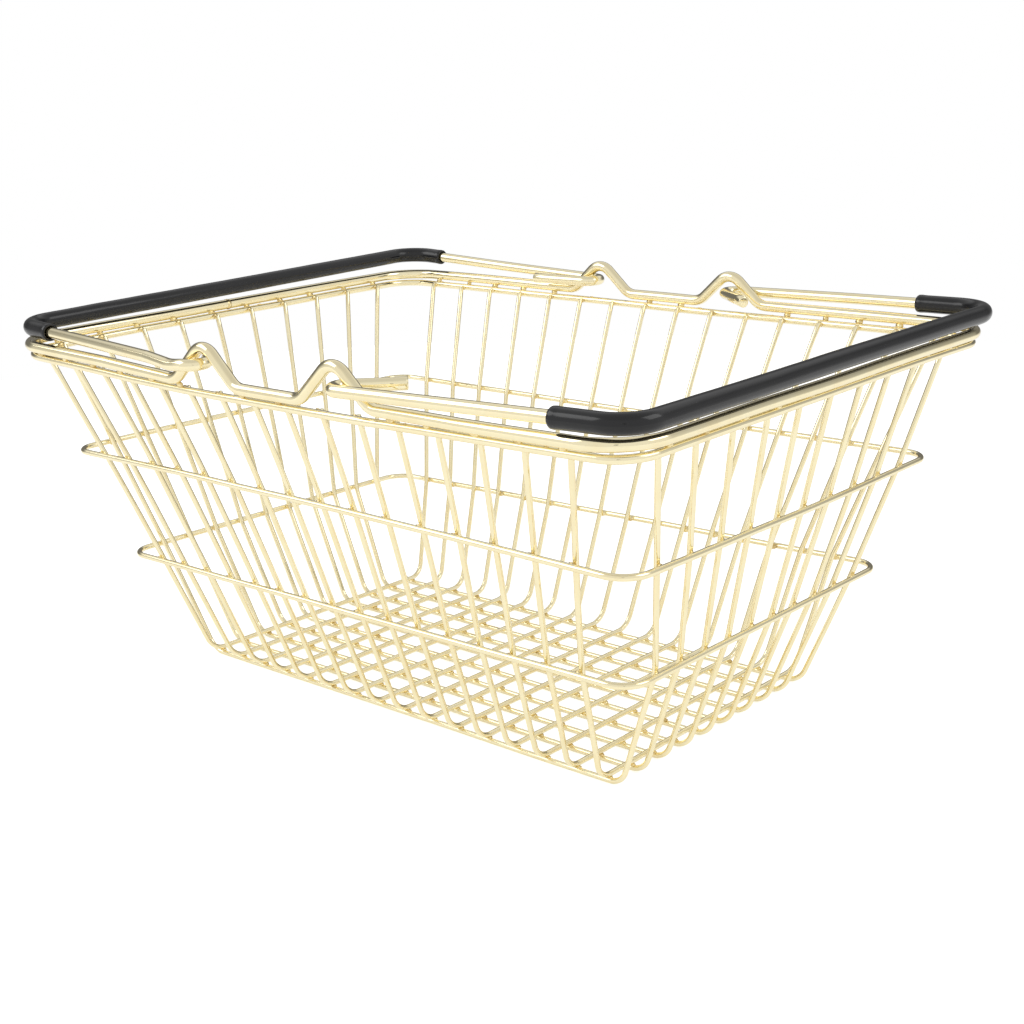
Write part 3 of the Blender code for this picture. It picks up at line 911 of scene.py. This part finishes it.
def make_world():
    """White light tent, greyer overhead and dark low down behind the object, plain white to the camera."""
    w = World()
    direction = w.add("TexCoord").outputs["Generated"]
    height = w.along(direction, (0.0, 0.0, 1.0))
    behind = w.along(direction, (-math.sin(CAMERA_YAW), math.cos(CAMERA_YAW), 0.0))
    off_band = w.math("ABSOLUTE", w.math("SUBTRACT", height, BAND_HEIGHT))
    band = w.math("SUBTRACT", 1.0, w.step(off_band, *BAND_EDGES))
    dark = w.math("MULTIPLY", band, w.step(behind, *BEHIND_EDGES))
    overhead = w.math("MULTIPLY", w.step(height, *TOP_EDGES), TOP_SHARE)
    taken = w.math("ADD", w.math("MULTIPLY", dark, BAND_SHARE), overhead)
    level = w.math("SUBTRACT", TENT_LEVEL, taken)
    tent = w.add("Background")
    w.link(level, tent.inputs["Strength"])
    white = w.add("Background")
    white.inputs["Color"].default_value = WHITE
    either = w.add("MixShader")
    w.link(w.add("LightPath").outputs["Is Camera Ray"], either.inputs["Fac"])
    w.link(tent.outputs["Background"], either.inputs[1])
    w.link(white.outputs["Background"], either.inputs[2])
    w.link(either.outputs["Shader"], w.add("OutputWorld").inputs["Surface"])


def make_floor():
    """Pale paper floor, bright enough to run off into the white background."""
    n = Nodes("pale_floor")
    n.shader.inputs["Base Color"].default_value = FLOOR_COLOUR
    n.shader.inputs["Roughness"].default_value = 0.9
    n.shader.inputs["Specular IOR Level"].default_value = 0.0
    n.shader.inputs["Emission Color"].default_value = WHITE
    seen = n.add("LightPath").outputs["Is Camera Ray"]
    n.link(n.span(seen, FLOOR_GLOW, FLOOR_LIFT), n.shader.inputs["Emission Strength"])
    mesh = bmesh.new()
    bmesh.ops.create_circle(mesh, cap_ends=True, segments=96, radius=FLOOR_RADIUS)
    floor = make_piece("floor", mesh, n.material)
    floor.location.z = cad_bounds[0][2] - FLOOR_GAP


def make_lens_card():
    """Dark front of the camera, seen only as a small reflection in the wire's bends."""
    n = Nodes("camera_front")
    n.shader.inputs["Base Color"].default_value = LENS_CARD_BLACK
    mesh = bmesh.new()
    bmesh.ops.create_circle(mesh, cap_ends=True, segments=40, radius=LENS_CARD_RADIUS)
    card = make_piece("camera_front", mesh, n.material)
    camera = bpy.context.scene.camera
    card.matrix_world = camera.matrix_world @ Matrix.Translation((0.0, 0.0, LENS_CARD_OFFSET))
    card.visible_camera = False


make_camera()
make_world()
make_floor()
make_lens_card()
softbox("softbox_left", (-1.0, -0.9, 1.1), 5.0)
softbox("softbox_right", (1.2, 0.5, 1.2), 4.0)
bpy.context.scene.view_settings.view_transform = "Standard"
